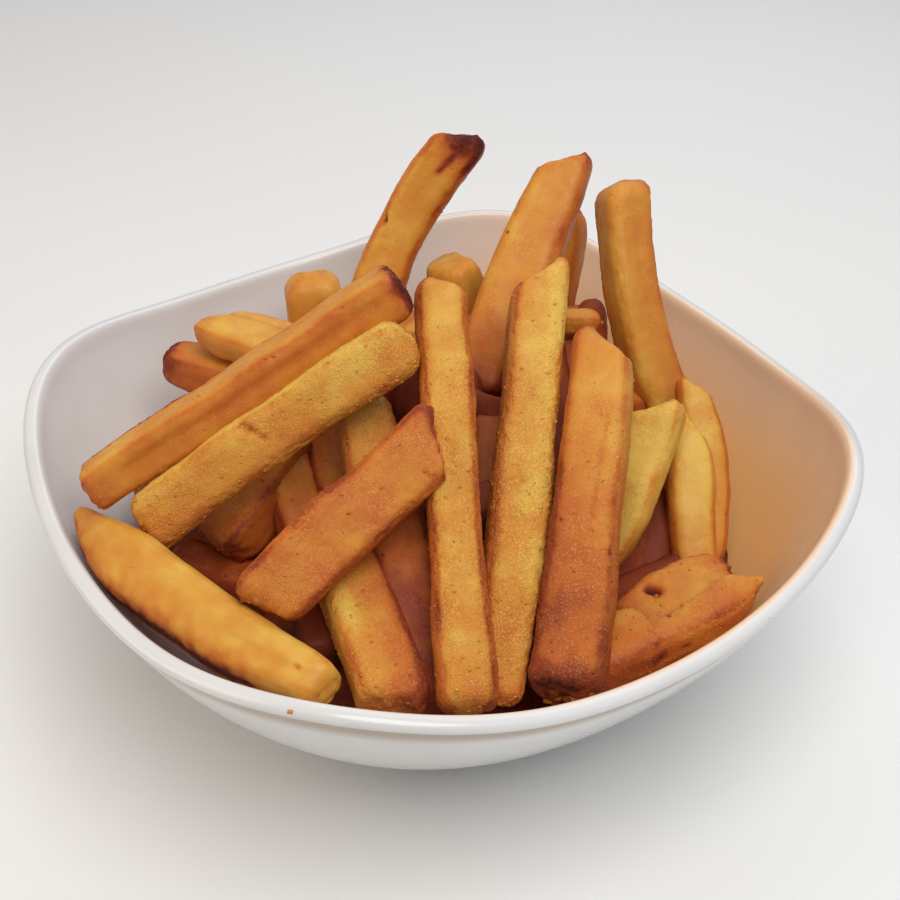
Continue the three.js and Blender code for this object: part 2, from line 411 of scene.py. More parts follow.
glaze = makeGlaze()
friedSkin = makeFriedSkin()
coatedPotato = makeFriedPotato(
    "coatedPotato", friedSkin, goldenPaints, grainScale=3000, streaks=0.12, relief=0.42, through=0.20, gloss=0.20
)
smoothPotato = makeFriedPotato(
    "smoothPotato", friedSkin, goldenPaints, grainScale=3200, streaks=0.20, relief=0.15, through=0.28, gloss=0.22
)
brownedPotato = makeFriedPotato(
    "brownedPotato", friedSkin, goldenPaints, grainScale=3000, streaks=0.24, relief=0.22, through=0.18, gloss=0.18
)
shadedPotato = makeFriedPotato(
    "shadedPotato", friedSkin, shadedPaints, grainScale=2000, streaks=0.30, relief=0.22, through=0.15, gloss=0.10
)
print("materials made")


# bowl

bowlForm = dict(
    rimRadius=75,
    rimHeight=50,
    cornerReach=0.038,
    cornerSharpness=0.003,
    cornerRise=6.9,
    dipWidening=0.6,
    riseLimit=1.2,  # of the height from floor to rim; the rise grows no further
    lipWidth=3.4,
    lipDepth=2.2,
    lipOverhang=1.2,
    lipUnder=((1.75, -0.9), (1.6, -0.2), (1.1, 0), (0.5, 0.1), (0, 0.75)),  # in from its outer edge, up from under it
    lipOver=((0, 1.0), (0.35, 0.45), (1.0, 0.1), (1.7, 0)),  # in from its outer edge, down from its top
    lipInside=0.8,
    neckInset=0.2,
    footRadius=35.5,
    footHeight=2.5,
    footRecess=1.6,
    footRing=(8, 4, 3, 0.5),  # in from its outer edge: a ring in the recess, the recess, the sole's two edges
    floorRadius=30,
    floorHeight=5,
    floorRing=0.6,
    wallRoundness=1.3,
    wallPieces=22,
    edgeSoftness=0.35,
    footSoftness=0.5,
    steps=144,
)

glazePlaces = dict(
    # where warm bounce light from the fries is painted on the inner wall, and where shade is painted in the hollow
    # under the lip
    bounceAzimuth=-33,
    bounceSpread=(-0.35, 0.75),
    bounceDepth=(2, 20),  # below the rim
    shallowBounce=0.62,
    middle=5,  # no wall is nearer to the axis
    hollowDepth=3.4,
    hollowFade=1.2,
    hollowTop=(-0.5, 0.1),
)


def wallLine(top, bottom, pieces):  # from the rim down to the flat part
    power = bowlForm["wallRoundness"]
    line = []
    for number in range(pieces + 1):
        depth = number / pieces
        share = (1 - depth**power) ** (1 / power)
        line.append((bottom[0] + (top[0] - bottom[0]) * share, top[1] + (bottom[1] - top[1]) * depth))
    return line


def turned(line, steps, weld=0.002):  # spins (radius, height) points about Z into a closed solid
    bm = bmesh.new()
    corners = [bm.verts.new((radius * mm, 0, height * mm)) for radius, height in line]
    sides = [bm.edges.new(pair) for pair in zip(corners, corners[1:])]
    bmesh.ops.spin(
        bm, geom=corners + sides, cent=(0, 0, 0), axis=(0, 0, 1), angle=2 * math.pi, steps=steps, use_merge=True
    )
    bmesh.ops.remove_doubles(bm, verts=bm.verts, dist=weld * mm)
    bmesh.ops.recalc_face_normals(bm, faces=bm.faces)
    return bm


def softenRings(bm, rings, width, near=0.02):
    # rounds the rings that pass through these (radius, height) corners
    chosen = []
    for edge in bm.edges:
        ends = [(math.hypot(v.co.x, v.co.y) / mm, v.co.z / mm) for v in edge.verts]
        for ring in rings:
            if all(math.dist(end, ring) < near for end in ends):
                chosen.append(edge)
    bmesh.ops.bevel(bm, geom=chosen, offset=width * mm, segments=3, profile=0.5, affect="EDGES", material=-1)


def makeWavySquare(bm, middle=0.01):
    # the same form as the solid's: it fades out towards the foot
    form = bowlForm
    radiusSpan = form["rimRadius"] - form["floorRadius"]
    heightSpan = form["rimHeight"] - form["floorHeight"]
    for vert in bm.verts:
        x, y, z = vert.co / mm
        fromCorner = math.atan2(y, x) - math.pi / 4
        four = math.cos(4 * fromCorner)
        eight = math.cos(8 * fromCorner)
        radius = math.hypot(x, y)
        outward = min(1, max(0, (radius - form["floorRadius"]) / radiusSpan))
        upward = min(form["riseLimit"], max(0, (z - form["floorHeight"]) / heightSpan))
        reach = form["rimRadius"] * (form["cornerReach"] * four + form["cornerSharpness"] * eight) * outward
        rise = form["cornerRise"] / 2 * (1 + four) - form["dipWidening"] * (1 - eight)
        stretch = (radius + reach) / radius if radius > middle else 1
        vert.co = point((x * stretch, y * stretch, z + rise * upward))


def paintGlazeLight(bm):
    # how much painted warm bounce light from the fries the inner wall gets beside the heap, and how much painted
    # shade falls in the hollow under the lip
    form, where = bowlForm, glazePlaces
    under = form["rimHeight"] - form["lipDepth"]
    bm.normal_update()
    paintedLight = []
    for vert in bm.verts:
        x, y, z = vert.co / mm
        radius = math.hypot(x, y)
        inner = radius > where["middle"] and vert.normal.x * x + vert.normal.y * y < 0 and z > form["floorHeight"]
        facing = math.cos(math.atan2(y, x) - math.radians(where["bounceAzimuth"]))
        bounce = coveShade = 0
        if inner:
            deep = ease(*where["bounceDepth"], form["rimHeight"] - z)
            bounce = ease(*where["bounceSpread"], facing) * between((where["shallowBounce"], 1), deep)
        elif radius > form["footRadius"]:
            deepest = where["hollowDepth"]
            coveShade = ease(deepest, deepest - where["hollowFade"], under - z) * ease(*where["hollowTop"], under - z)
        paintedLight.extend((bounce, coveShade, 0, 1))
    return paintedLight


def makeBowl():
    form = bowlForm
    rim, top = form["rimRadius"], form["rimHeight"]
    foot, recess = form["footRadius"], form["footRecess"]
    outer = rim + form["lipWidth"]
    under = top - form["lipDepth"]
    pieces, inside = form["wallPieces"], form["lipInside"]
    outerWall = wallLine((outer - form["lipOverhang"], under), (foot, form["footHeight"]), pieces)
    innerWall = wallLine((rim, top - inside), (form["floorRadius"], form["floorHeight"]), pieces)
    neck = outerWall.pop(1)
    ring, lift, heel, toe = form["footRing"]
    line = [(0, recess), (foot - ring, recess), (foot - lift, recess), (foot - heel, 0), (foot - toe, 0)]
    line += outerWall[:0:-1]
    line += [(neck[0] - form["neckInset"], neck[1])]
    line += [(outer - inward, under + up) for inward, up in form["lipUnder"]]
    line += [(outer - inward, top - down) for inward, down in form["lipOver"]]
    line += [(rim + inside, top)]
    line += innerWall
    line += [(form["floorRadius"] * form["floorRing"], form["floorHeight"]), (0, form["floorHeight"])]
    bm = turned(line, form["steps"])
    edges = [(foot - heel, 0), (foot - toe, 0), (rim + inside, top), (foot - lift, recess)]
    softenRings(bm, edges, form["edgeSoftness"])
    softenRings(bm, [(foot, form["footHeight"])], form["footSoftness"])
    paintedLight = paintGlazeLight(bm)
    makeWavySquare(bm)
    bowl = asObject(bm, "porcelainBowl", glaze)
    bowl.data.attributes.new("paintedGlazeLight", "FLOAT_COLOR", "POINT").data.foreach_set("color", paintedLight)
    smoothing = bowl.modifiers.new("smoothing", "SUBSURF")
    smoothing.levels = smoothing.render_levels = 1
    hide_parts("bowl")
    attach(bowl, "root")


makeBowl()
print("bowl made")


# fries
# foot and tip are the ends of a fry's middle line; +across is to the right of someone who looks from foot to tip,
# +over is up. tone (0 pale to 1 brown) and crust (0 smooth to 1 sandy) are values spaced evenly from foot to tip.
# lean adds tone towards +across and +over, a painted shade that darkens one side of a fry and lightens the other;
# flank adds it on both sides. burns are (from, to, reach, amount) and cuts (from, to, width, depth), whose ends are
# (share along, across, over); a cut of negative depth is a ridge.
# roll turns a fry about its length, bow bends its middle sideways and up. ends, slant, rounded and torn each hold
# a value for the foot and one for the tip: its share of the full size, its skew, its rounding and its raggedness.
# the fries of a kind are numbered from firstNumber, and the number picks a fry's own unevenness.

usualCut = dict(
    roll=0,
    bow=(0, 0),
    ends=(1, 1),
    slant=(0, 0),
    rounded=(2.4, 2.4),
    torn=(0.6, 0.6),
    hollow=0.15,
    corner=3.2,
    lean=(0, 0),
    flank=0.2,
    crisp=0.6,
    lumpy=1,
    burns=(),
    cuts=(),
)


def fry(foot, tip, wide, thick, tone, crust, **more):
    return {**usualCut, "foot": foot, "tip": tip, "wide": wide, "thick": thick, "tone": tone, "crust": crust, **more}


coatedFries = dict(
    firstNumber=1,
    spacing=0.43,
    material=coatedPotato,
    fries=[
        fry((-58.5, 7, 49), (-10, -7.5, 80.5), 9.6, 11.2, (0.16, 0.22, 0.10), (0.7, 0.6, 1), roll=34, bow=(0, 1),
            ends=(1.08, 1), rounded=(3, 3.6), torn=(2.4, 0.5), lean=(0, -0.12),
            cuts=[((0.43, 1, 1.2), (0.46, 1, 0.5), 0.8, 1.0), ((0.46, 1, 0.5), (0.48, 1, 0), 0.5, 0.6)]),
        fry((-32, -59.5, 45), (2, 1, 83), 9.4, 10, (0.46, 0.42, 0.38, 0.34), (0.8, 0.8, 0.5), bow=(-0.5, 1),
            ends=(1.18, 1.14), slant=(0, -1.2), rounded=(2.4, 3.9), flank=0.38, corner=3.6),
        fry((-26.5, -60, 44), (21.7, -3.4, 80.7), 10.5, 9.5, (0.50, 0.34, 0.26, 0.20), (1, 1, 0.35), roll=-12,
            bow=(0.2, 0), ends=(0.68, 0.96), slant=(0, 3.6), rounded=(2.4, 2), lean=(-0.14, 0)),
        fry((-16, -64.5, 44), (22, -23, 76), 11.9, 12, (0.94, 0.78, 0.44, 0.34), (1, 0.7, 0.15), roll=5,
            bow=(0.4, 1), ends=(1.15, 0.92), slant=(0, -3), rounded=(2.4, 3.4), torn=(1.8, 0.3), lean=(-0.14, 0),
            # the second burn and the negative side lean are painted shade down its left side; the first burn is its
            # burnt foot
            burns=[((0, -1, 1), (0, 0.6, 1), 2.0, 0.8), ((0.1, -1, 0.4), (0.55, -1, 0.4), 2.0, 0.25)],
            cuts=[((0.45, 0.25, 1), (0.72, 0.35, 1), 0.5, 0.25)]),
        fry((-41.5, -52.5, 45), (-32.5, -14.5, 53), 12, 10, (0.66, 0.46, 0.34), (0.8, 0.5), slant=(-1.2, 0),
            rounded=(3, 2.4), torn=(1.2, 0.5), lean=(0.34, 0)),
        # brown towards the foot as painted shade, where it lies deep between the fries
        fry((-33.5, -52.5, 40), (-16.1, 1.1, 62.8), 12, 10, (1.0, 1.0, 0.60, 0.16), (0, 0.2, 1), ends=(1, 0.95)),
    ],
)

smoothFries = dict(
    firstNumber=21,
    spacing=0.55,
    material=smoothPotato,
    fries=[
        fry((10, 1.5, 56), (44.5, 19.5, 88.5), 12.5, 9, (0.86, 0.46, 0.38, 0.42), (0.3, 0.4), roll=-10,
            ends=(0.9, 0.78), slant=(0, 2.6), rounded=(2.4, 1.8), torn=(0.6, 0.2), lean=(0.14, 0), flank=0.14),
        fry((42.5, 20, 46), (49, 23.5, 76), 9.5, 8, (0.6, 0.38, 0.30), (0.2, 0.2), ends=(1, 0.7), slant=(0, -1.5)),
        fry((49, -19.5, 38), (52.5, 11.5, 85.5), 9.6, 10.4, (0.40, 0.38, 0.42), (0.3, 0.35), roll=4, bow=(-4, 0),
            rounded=(2.4, 3.6), torn=(0.6, 0.3), corner=2.6, lean=(0.16, 0), flank=0),
        fry((2, 49, 42), (1.5, 51.5, 60), 13, 11, (0.36, 0.24), (0.2, 0.2), roll=36, ends=(1, 0.85), rounded=(2.4, 4),
            torn=(0.6, 0.3), crisp=0.15, flank=0.05),
        fry((28, 30, 47), (23.5, 30, 67), 14, 9, (0.4, 0.22), (0.3, 0.3), ends=(1, 0.8), slant=(0, -1.6),
            rounded=(2.4, 1.8), torn=(0.6, 0.2), crisp=0.2, flank=0.05),
        fry((-67, 19, 48), (-50, -45, 47), 11.6, 12.8, (0.30, 0.24, 0.18), (0.08, 0.06), roll=68, bow=(3.4, 0),
            ends=(0.16, 0.62), rounded=(1.6, 2.4), crisp=0.4, flank=0, lean=(0, -0.06), lumpy=0.4, corner=4,
            # the first burn is painted shade along the fry's underside, not a real burn; the second is a small burnt
            # spot
            burns=[((0.08, 0.2, -1), (0.8, 0.2, -1), 3.6, 0.9), ((0.93, 1, 0), (0.935, 1, 0), 0.4, 0.8)],
            cuts=[((0.12, 1, 0.1), (0.95, 1, 0.2), 1.4, -0.35)]),
        fry((-16, 24.5, 60), (-29, 44, 62), 10.5, 7, (0.30, 0.26), (0.2, 0.2), ends=(1, 0.35)),
        fry((-21, 31, 52), (-34, 48.5, 53), 10.5, 9, (0.5, 0.6), (0.2, 0.3), ends=(1, 0.72),
            rounded=(2.4, 1.6), burns=[((0.98, -1, 1), (0.98, 1, 1), 2.6, 0.8)]),
        fry((-1, 30, 52), (-20.5, 48.5, 58), 7, 5, (0.4, 0.3), (0.2, 0.2), ends=(1, 0.6)),
        fry((11, -40, 38.5), (31.5, -28, 61), 11, 8, (0.20, 0), (0.5, 0.5), ends=(0.3, 1), slant=(0, 2.6),
            crisp=0.8, flank=0.2, lean=(-0.06, 0)),
        fry((28.5, -47, 34), (41.5, -26.5, 54), 9.4, 8, (0.50, 0.20, 0.12), (0.3, 0.3), ends=(1, 0.56),
            slant=(0, -3), rounded=(2.4, 3), flank=0.3),
        fry((33.5, -43, 32), (46.5, -21.5, 57), 8.6, 8, (0.60, 0.34, 0.22), (0.3, 0.3), bow=(2, 0), ends=(1, 0.7),
            slant=(0, -1.5), flank=0.3),
    ],
)

brownedFries = dict(
    firstNumber=41,
    spacing=0.46,
    material=brownedPotato,
    fries=[
        fry((7, 37, 54), (33, 39.5, 89.4), 11.4, 9.4, (0.40, 0.36, 0.46), (0.15, 0.2), roll=-40, bow=(-3.5, 0),
            ends=(1, 0.96), slant=(0, 1.2), rounded=(2.4, 3.4), torn=(0.6, 0.5), lean=(0.06, 0),
            burns=[((1.02, 0, 1), (1.02, 1, 1), 4.8, 1), ((0.80, 0.1, 1), (0.96, 0.3, 1), 1.2, 0.6),
                   ((0.88, 1, 0.8), (1, 1, 0.8), 2.6, 0.7)],
            cuts=[((0.50, -1.1, 1), (0.47, -0.8, 1), 0.8, 1.4), ((0.80, 0.05, 1), (0.95, 0.25, 1), 0.7, 0.25)]),
        fry((-64.5, 15.5, 55), (-6, 2, 85.5), 10.5, 9, (0.34, 0.42, 0.36), (0.25, 0.3), roll=20, ends=(0.9, 1.1),
            rounded=(1.2, 2.6), torn=(2.0, 0.6), corner=2.4,
            burns=[((1, -1, 1), (1, 1, 0.7), 1.9, 0.95), ((1, 1, 0.9), (1, 1, -0.9), 1.7, 0.9),
                   ((0.02, -0.7, 1), (0.4, -0.7, 1), 1.2, 0.85), ((0.4, -0.8, 1), (1, -0.8, 1), 1.2, 0.6),
                   ((0, -1, 0.8), (0, 1, 0.8), 0.8, 0.5)],
            cuts=[((0.12, 1, 0.1), (0.92, 1, 0.3), 1.2, 0.35), ((0.45, 1, -0.5), (0.85, 1, -0.4), 0.8, 0.15)]),
        fry((-52.5, -26.5, 52.5), (-16.6, -25.6, 72.3), 12.8, 9.7, (0.52, 0.64, 0.57), (0.6, 0.6), roll=-38,
            ends=(0.95, 1), slant=(1.4, -3), rounded=(3.4, 1.6), torn=(0.8, 1.2), hollow=0.05, corner=2.6,
            burns=[((1, -0.8, 1), (1, 1, 1), 0.9, 0.5)],
            cuts=[((0.3, 0.2, 1), (0.3, 0.2, 1), 4, 0.2), ((0.66, 1, 0.8), (0.66, 1, 0.8), 4, 0.5)]),
        fry((-46, 3.5, 40.5), (-23, 13.5, 50), 12, 10, (0.66, 0.56, 0.36), (0.4, 0.3), roll=10,
            ends=(0.9, 1), rounded=(3.4, 2.4), corner=2.2, torn=(1.2, 0.6)),
        fry((-32.5, -6.5, 40), (-27, 14.5, 51), 10.5, 9, (0.74, 0.64, 0.7), (0.4, 0.4)),
        fry((-23.7, -6.6, 43), (-18.2, 13.9, 52), 9, 9, (0.7, 0.8), (0.3, 0.3)),
        # dark brown all over as painted shade, deep in the gap under the front fries
        fry((-51, 13, 32), (-40, -9.5, 34), 10, 9, (1, 1), (0.3, 0.3)),
        fry((-9.8, -57.2, 39.5), (26.5, -64.5, 46.5), 12.4, 9, (0.70, 0.44, 0.54), (0.6, 0.6),
            ends=(1, 0.26), slant=(0, -1.5), flank=0, lean=(0.16, 0),
            burns=[((0.36, 1, 0), (0.42, 1, 0.2), 0.9, 0.7), ((0.52, 1, 0.1), (0.55, 1, 0.1), 0.6, 0.6)]),
        fry((1.5, -57.5, 41.5), (26.5, -57, 43.5), 11.5, 9, (0.74, 0.54, 0.54), (0.6, 0.5), bow=(0, 2),
            ends=(0.8, 0.7), rounded=(2.4, 3), torn=(0.6, 2.2), corner=2.6,
            burns=[((0.31, -0.35, 1), (0.34, -0.15, 1), 1.0, 1), ((1, -1, 1), (1, 1, 1), 1.2, 0.6)],
            cuts=[((0.31, -0.35, 1), (0.34, -0.15, 1), 1.0, 1.1), ((0.92, 0.9, 1), (0.97, 0.5, 1), 1.3, 1.4)]),
        fry((37, -2, 54), (44.5, 9, 61), 7, 8, (1, 1), (0.3, 0.3), ends=(1, 0.7), rounded=(2.4, 3),
            burns=[((1, 0, 0.5), (1, 0, 0.5), 5, 0.35)]),
        fry((32, 4.5, 63), (39.5, -0.5, 63), 4.5, 4.5, (0.3, 0.3), (0.3, 0.3)),
    ],
)

backFries = dict(
    firstNumber=61,
    spacing=0.8,
    material=smoothPotato,
    fries=[
        fry((5.5, 58, 40), (54, 30, 41), 11, 9, (0.5, 0.4), (0.5, 0.5), bow=(2, 0)),
        fry((-26, 51, 35), (17, 54, 36), 10, 9, (0.6, 0.5), (0.4, 0.4)),
        fry((36, 42, 36), (54, 6, 34), 11, 10, (0.5, 0.5), (0.4, 0.4)),
        fry((-49, 29, 34), (-12.5, 54, 42), 10, 10, (0.6, 0.5), (0.4, 0.4)),
        fry((43, -25.5, 28), (56, 12.5, 36), 11, 9, (0.6, 0.5), (0.4, 0.4)),
        fry((-44, 36, 39), (-8, 25, 57), 11, 10, (0.5, 0.4), (0.4, 0.4), bow=(0, 1)),
        fry((-12, 47, 42), (17, 18, 58), 11, 9, (0.35, 0.4), (0.3, 0.3), roll=12),
        fry((21, 48, 40), (2, 22, 57), 10, 10, (0.5, 0.3), (0.6, 0.6), roll=-8, ends=(0.9, 1)),
        fry((50, 30, 37), (23, 20, 56), 11, 9, (0.4, 0.5), (0.4, 0.4), bow=(2, 0)),
        fry((54, -6, 38), (25, -13, 56), 10, 9, (0.7, 0.7), (0.4, 0.4), roll=10),
    ],
)

# fries deep in the heap, in the shaded paints: painted shade in the gaps
shadedFries = dict(
    firstNumber=81,
    spacing=0.9,
    material=shadedPotato,
    fries=[
        fry((-44.5, -32.5, 40), (-38.5, -18.5, 44), 9, 8, (0.9, 0.8), (0.3, 0.3)),
        fry((-7, -28, 42), (7.5, -8.5, 56), 9, 9, (0.5, 0.2), (0.3, 0.3)),
        fry((-6.5, -6.5, 56), (-0.5, 7, 66), 9, 9, (0.7, 0.6), (0.3, 0.3)),
        fry((19.5, -46.5, 30), (32, -26, 40), 10, 9, (0.9, 0.8), (0.3, 0.3)),
        fry((-24, -15.5, 48), (16, -34.5, 51.5), 11, 10, (0.8, 0.8), (0.4, 0.4)),
        fry((-12.5, 25, 58), (34.5, -2, 54), 11, 10, (0.25, 0.4), (0.4, 0.4)),
        fry((-20, -48, 35), (28, -46.5, 34), 11, 10, (0.8, 0.8), (0.4, 0.4)),
        fry((-51.5, 24, 42), (-2, 15.5, 66), 11, 10, (0.3, 0.3), (0.4, 0.4)),
        fry((-26.5, -37.5, 42), (17, 15, 60), 11, 10, (0.8, 0.7), (0.4, 0.4)),
        fry((-3, -52.5, 40), (30, 9, 60), 11, 10, (0.8, 0.7), (0.4, 0.4)),
        fry((3.5, 31, 54), (48.5, 9, 52), 11, 10, (0.1, 0.15), (0.4, 0.4)),
        fry((44.5, 2, 46), (31, -37, 34), 10, 9, (0.15, 0.4), (0.4, 0.4)),
    ],
)


barForm = dict(
    leastFlat=0.6,  # between two rounded edges
    settling=6,  # from an end, until the faces are fully sunk
    sideHollow=0.7,  # of the hollow in the wide faces
    taperShare=0.4,  # of the length, at each end
    swelling=0.10,
    swellingSizes=(17, 14),
    swaying=(0.5, 15),
    raggedSize=2.6,
    doming=0.12,
    tornDepth=4,
    slantDepth=8,
    edgeAcross=(0.55, 0.95),
    edgeOver=(0.5, 0.95),
    tipReach=2.2,
    thinEnd=0.8,
    seatSteps=(31.7, 17.3, 47.1),
)

skinForm = dict(  # pairs are an amount and the size of its lumps
    lumps=(0.18, 4.6),
    bumps=(0.08, 1.9),
    grit=(0.05, 0.12),  # at no crust, and how much more at full crust
    gritSize=0.85,
    edgeGrit=0.9,
    chipSize=2.4,
    chipRarity=0.25,
    chipDepth=0.7,
    cutWander=(0.35, 2),
    burnWander=(0.6, 2.2),
    crustWander=(0.35, 7),
    patchSize=6,
    patchTone=0.11,
    mottle=(0.07, 2.8),
    flankEdge=(0.7, 1),
    flankMean=0.25,
    edgeCrisp=(0.32, 0.7, 1.2),  # amount, even part and patchy part
    tipCrisp=(0.5, 0.8, 0.6),
    cutSteepness=0.7,
    cutCrisp=0.6,
)


def barBlock(wide, thick, long, spacing):
    # a block whose faces are divided evenly, its length along Z
    bm = bmesh.new()
    bmesh.ops.create_cube(bm, size=1)
    bmesh.ops.scale(bm, vec=(wide, thick, long), verts=bm.verts)
    for axis, size in enumerate((wide, thick, long)):
        lines = [e for e in bm.edges if abs((e.verts[1].co - e.verts[0].co)[axis]) > tiny]
        bmesh.ops.subdivide_edges(bm, edges=lines, cuts=max(1, round(size / spacing) - 1), use_grid_fill=True)
    return bm


def nearness(spot, first, last, reach):
    # 1 on the line from first to last, fading to 0 some way past its reach
    line = last - first
    share = min(1, max(0, (spot - first).dot(line) / max(line.length_squared, tiny)))
    return math.exp(-(((spot - first - line * share).length / reach) ** 2))


def roundedBar(cut, spot, long, seat):
    # moves a point of the plain block to the fry's main form, and says how close it is to an edge or a tip
    form = barForm
    x, y, z = spot
    halfWide, halfThick = cut["wide"] / 2, cut["thick"] / 2
    corner = min(cut["corner"], halfThick - form["leastFlat"])
    share = z / long + 0.5
    fromEnd = (0.5 - abs(z / long)) * long
    a, b = x / halfWide, y / halfThick
    middle = ease(0, form["settling"], fromEnd)

    # faces sunk between the edges, edges rounded off
    y -= math.copysign(cut["hollow"] * (1 - a * a) * abs(b) ** 3 * middle, b)
    x -= math.copysign(cut["hollow"] * form["sideHollow"] * (1 - b * b) * abs(a) ** 3 * middle, a)
    keptX = min(halfWide - corner, max(corner - halfWide, x))
    keptY = min(halfThick - corner, max(corner - halfThick, y))
    offX, offY = x - keptX, y - keptY
    reach = math.hypot(offX, offY)
    if reach > tiny:
        pull = max(abs(offX), abs(offY)) / reach
        x, y = keptX + offX * pull, keptY + offY * pull

    # ends rounded, tapered, torn and cut at a slant
    end = 0 if share < 0.5 else 1
    curl = max(0, 1 - fromEnd / cut["rounded"][end])
    shrink = 1 - cut["rounded"][end] / halfWide * (1 - math.sqrt(max(0, 1 - curl * curl)))
    footShare = min(1, share / form["taperShare"])
    tipShare = min(1, (1 - share) / form["taperShare"])
    taper = between((cut["ends"][0], 1), footShare * (2 - footShare))
    taper *= between((cut["ends"][1], 1), tipShare * (2 - tipShare))
    spine = Vector((share * long, 0, 0)) + seat
    x *= shrink * taper * (1 + wander(spine, form["swelling"], form["swellingSizes"][0]))
    y *= shrink * taper * (1 + wander(spine, form["swelling"], form["swellingSizes"][1], (9, 3, 0)))
    x += wander(spine, *form["swaying"], (0, 5, 8)) * middle
    y += wander(spine, *form["swaying"], (4, 0, 2)) * middle
    ragged = cut["torn"][end] * noise.noise(Vector((x, y, 0)) / form["raggedSize"] + seat)
    dome = form["doming"] * cut["rounded"][end] * (1 - max(abs(a), abs(b)) ** 2)
    z += math.copysign((ragged + dome) * ease(form["tornDepth"], 0, fromEnd), z)
    z += a * cut["slant"][end] * max(0, 1 - fromEnd / form["slantDepth"])

    edge = ease(*form["edgeAcross"], abs(a)) * ease(*form["edgeOver"], abs(b))
    tipping = math.exp(-fromEnd / form["tipReach"]) + form["thinEnd"] * max(0, 1 - taper)
    return Vector((x, y, z)), (share, a, b, edge, tipping)


def addFriedMarks(mesh, places, paints):
    # for each point its place in the fry's own space, and its tone, crisp, crust and burn
    mesh.attributes.new("fryPoint", "FLOAT_VECTOR", "POINT").data.foreach_set("vector", places)
    mesh.attributes.new("fryLook", "FLOAT_COLOR", "POINT").data.foreach_set("color", paints)


def cutFry(cut, spacing, number):
    skin = skinForm
    start = Vector(cut["foot"])
    run = Vector(cut["tip"]) - start
    long = run.length
    along = run.normalized()
    sideways = along.cross(Vector((0, 0, 1))).normalized()
    upward = sideways.cross(along)
    turn = math.radians(cut["roll"])
    across = sideways * math.cos(turn) + upward * math.sin(turn)
    over = upward * math.cos(turn) - sideways * math.sin(turn)
    halves = Vector((cut["wide"] / 2, cut["thick"] / 2, long))
    seat = Vector([number * step for step in barForm["seatSteps"]])

    def onBar(mark):
        return Vector((mark[1] * halves.x, mark[2] * halves.y, mark[0] * long))

    bm = barBlock(cut["wide"], cut["thick"], long, spacing)
    spots = []
    for vert in bm.verts:
        vert.co, spot = roundedBar(cut, vert.co, long, seat)
        spots.append(spot)
    bm.normal_update()
    places, paints, moves = [], [], []
    for vert, (share, a, b, edge, tipping) in zip(bm.verts, spots):
        here = vert.co + seat
        mark = onBar((share, a, b))
        crust = min(1, max(0, stepped(cut["crust"], share) + wander(here, *skin["crustWander"])))
        patch = wander(here, 1, skin["patchSize"], (3, 3, 3))

        # relief
        rise = wander(here, *skin["lumps"]) + wander(here, *skin["bumps"])
        smooth, sandy = skin["grit"]
        rise += wander(here, smooth + sandy * crust, skin["gritSize"]) * (1 + skin["edgeGrit"] * edge)
        rise -= max(0, wander(here, 1, skin["chipSize"], (7, 1, 4)) - skin["chipRarity"]) * edge * skin["chipDepth"]
        rise *= cut["lumpy"]
        burn = dug = 0
        for first, last, width, depth in cut["cuts"]:
            reach = width * (1 + wander(here, *skin["cutWander"]))
            closeness = nearness(mark, onBar(first), onBar(last), reach)
            rise -= depth * closeness
            dug = max(dug, closeness * min(1, skin["cutSteepness"] * depth / width))
        moves.append(vert.normal * rise)

        # look
        for first, last, reach, amount in cut["burns"]:
            spread = reach * (1 + wander(here, *skin["burnWander"]))
            burn = max(burn, amount * nearness(mark, onBar(first), onBar(last), spread))
        tone = stepped(cut["tone"], share) + skin["patchTone"] * patch + wander(here, *skin["mottle"])
        flank = ease(*skin["flankEdge"], abs(a)) - skin["flankMean"]
        # painted shade: the side lean darkens one side of the fry and lightens the other
        tone += cut["lean"][0] * a + cut["lean"][1] * b + cut["flank"] * flank
        amount, even, patchy = skin["edgeCrisp"]
        crisp = amount * edge * (even + patchy * patch)
        amount, even, patchy = skin["tipCrisp"]
        crisp = cut["crisp"] * (crisp + amount * tipping * (even + patchy * patch)) + skin["cutCrisp"] * dug
        places.extend(here * mm)
        paints.extend((min(1, max(0, tone)), min(1, max(0, crisp)), crust, burn))
    for vert, move in zip(bm.verts, moves):
        x, y, z = vert.co + move
        share = z / long + 0.5
        arch = 4 * share * (1 - share)
        bend = sideways * cut["bow"][0] * arch + upward * cut["bow"][1] * arch
        vert.co = (start + run * share + bend + across * x + over * y) * mm
    bmesh.ops.reverse_faces(bm, faces=bm.faces)  # across, over and along mirror the block
    mesh = bpy.data.meshes.new("fry")
    bm.to_mesh(mesh)
    bm.free()
    addFriedMarks(mesh, places, paints)
    mesh.shade_smooth()
    item = bpy.data.objects.new("fry", mesh)
    scene.collection.objects.link(item)
    return item


def makeFries(name, kind):
    items = []
    for number, cut in enumerate(kind["fries"], kind["firstNumber"]):
        item = cutFry(cut, kind["spacing"], number)
        item.data.materials.append(kind["material"])
        items.append(item)
    whole = joined(items, name)
    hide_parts("fries")
    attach(whole, "root")
    print(name, "made:", len(whole.data.polygons), "faces")
    return whole


coatedPiece = makeFries("coatedFries", coatedFries)
makeFries("smoothFries", smoothFries)
brownedPiece = makeFries("brownedFries", brownedFries)
makeFries("backFries", backFries)
makeFries("shadedFries", shadedFries)


# grains and crumbs

